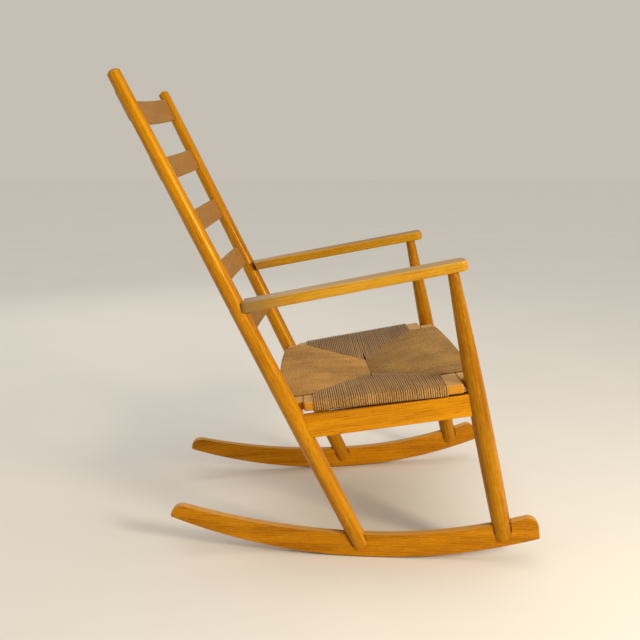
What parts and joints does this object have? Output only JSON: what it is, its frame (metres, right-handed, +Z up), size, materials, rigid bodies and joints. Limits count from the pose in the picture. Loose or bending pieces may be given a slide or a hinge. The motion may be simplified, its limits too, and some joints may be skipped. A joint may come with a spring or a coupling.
{
  "type": "rocking chair",
  "caption": "High ladder-back rocking chair with bowed slats, open arms, round tapered legs forked over toed-out rockers and a corded envelope-weave loose seat.",
  "frame": {"origin": "on the floor, under the middle of the bounding box", "axes": "+X forward, +Y to the sitter's left, +Z up"},
  "size_m": [0.9086, 0.6618, 1.0376],
  "materials": {
    "rocker_wood": "clear lacquer, satin",
    "post_wood": "clear lacquer, satin",
    "arm_wood": "clear lacquer, worn satin",
    "apron_wood": "clear lacquer, satin",
    "slat_wood": "clear lacquer, matte",
    "seat_rail_wood": "clear lacquer, matte",
    "dowel_wood": "raw",
    "paper_cord": "twisted paper cord, matte",
    "bolt_steel": "satin",
    "nut_brass": "satin"
  },
  "bodies": {
    "root": {"rocker_left": "rocker_wood", "rocker_right": "rocker_wood", "rear_post_left": "post_wood", "rear_post_right": "post_wood", "front_leg_left": "post_wood", "front_leg_right": "post_wood", "arm_left": "arm_wood", "arm_right": "arm_wood", "side_apron_left": "apron_wood", "side_apron_right": "apron_wood", "front_cross_rail": "apron_wood", "rear_cross_rail": "apron_wood", "back_slat_1": "slat_wood", "back_slat_2": "slat_wood", "back_slat_3": "slat_wood", "back_slat_4": "slat_wood", "back_slat_5": "slat_wood", "seat_front_rail": "seat_rail_wood", "seat_rear_rail": "seat_rail_wood", "seat_side_rail_left": "seat_rail_wood", "seat_side_rail_right": "seat_rail_wood", "seat_frame_dowels": "dowel_wood", "seat_locating_pins": "dowel_wood", "woven_seat": "paper_cord", "arm_bolts": "bolt_steel", "arm_barrel_nuts": "nut_brass"}
  },
  "joints": []
}
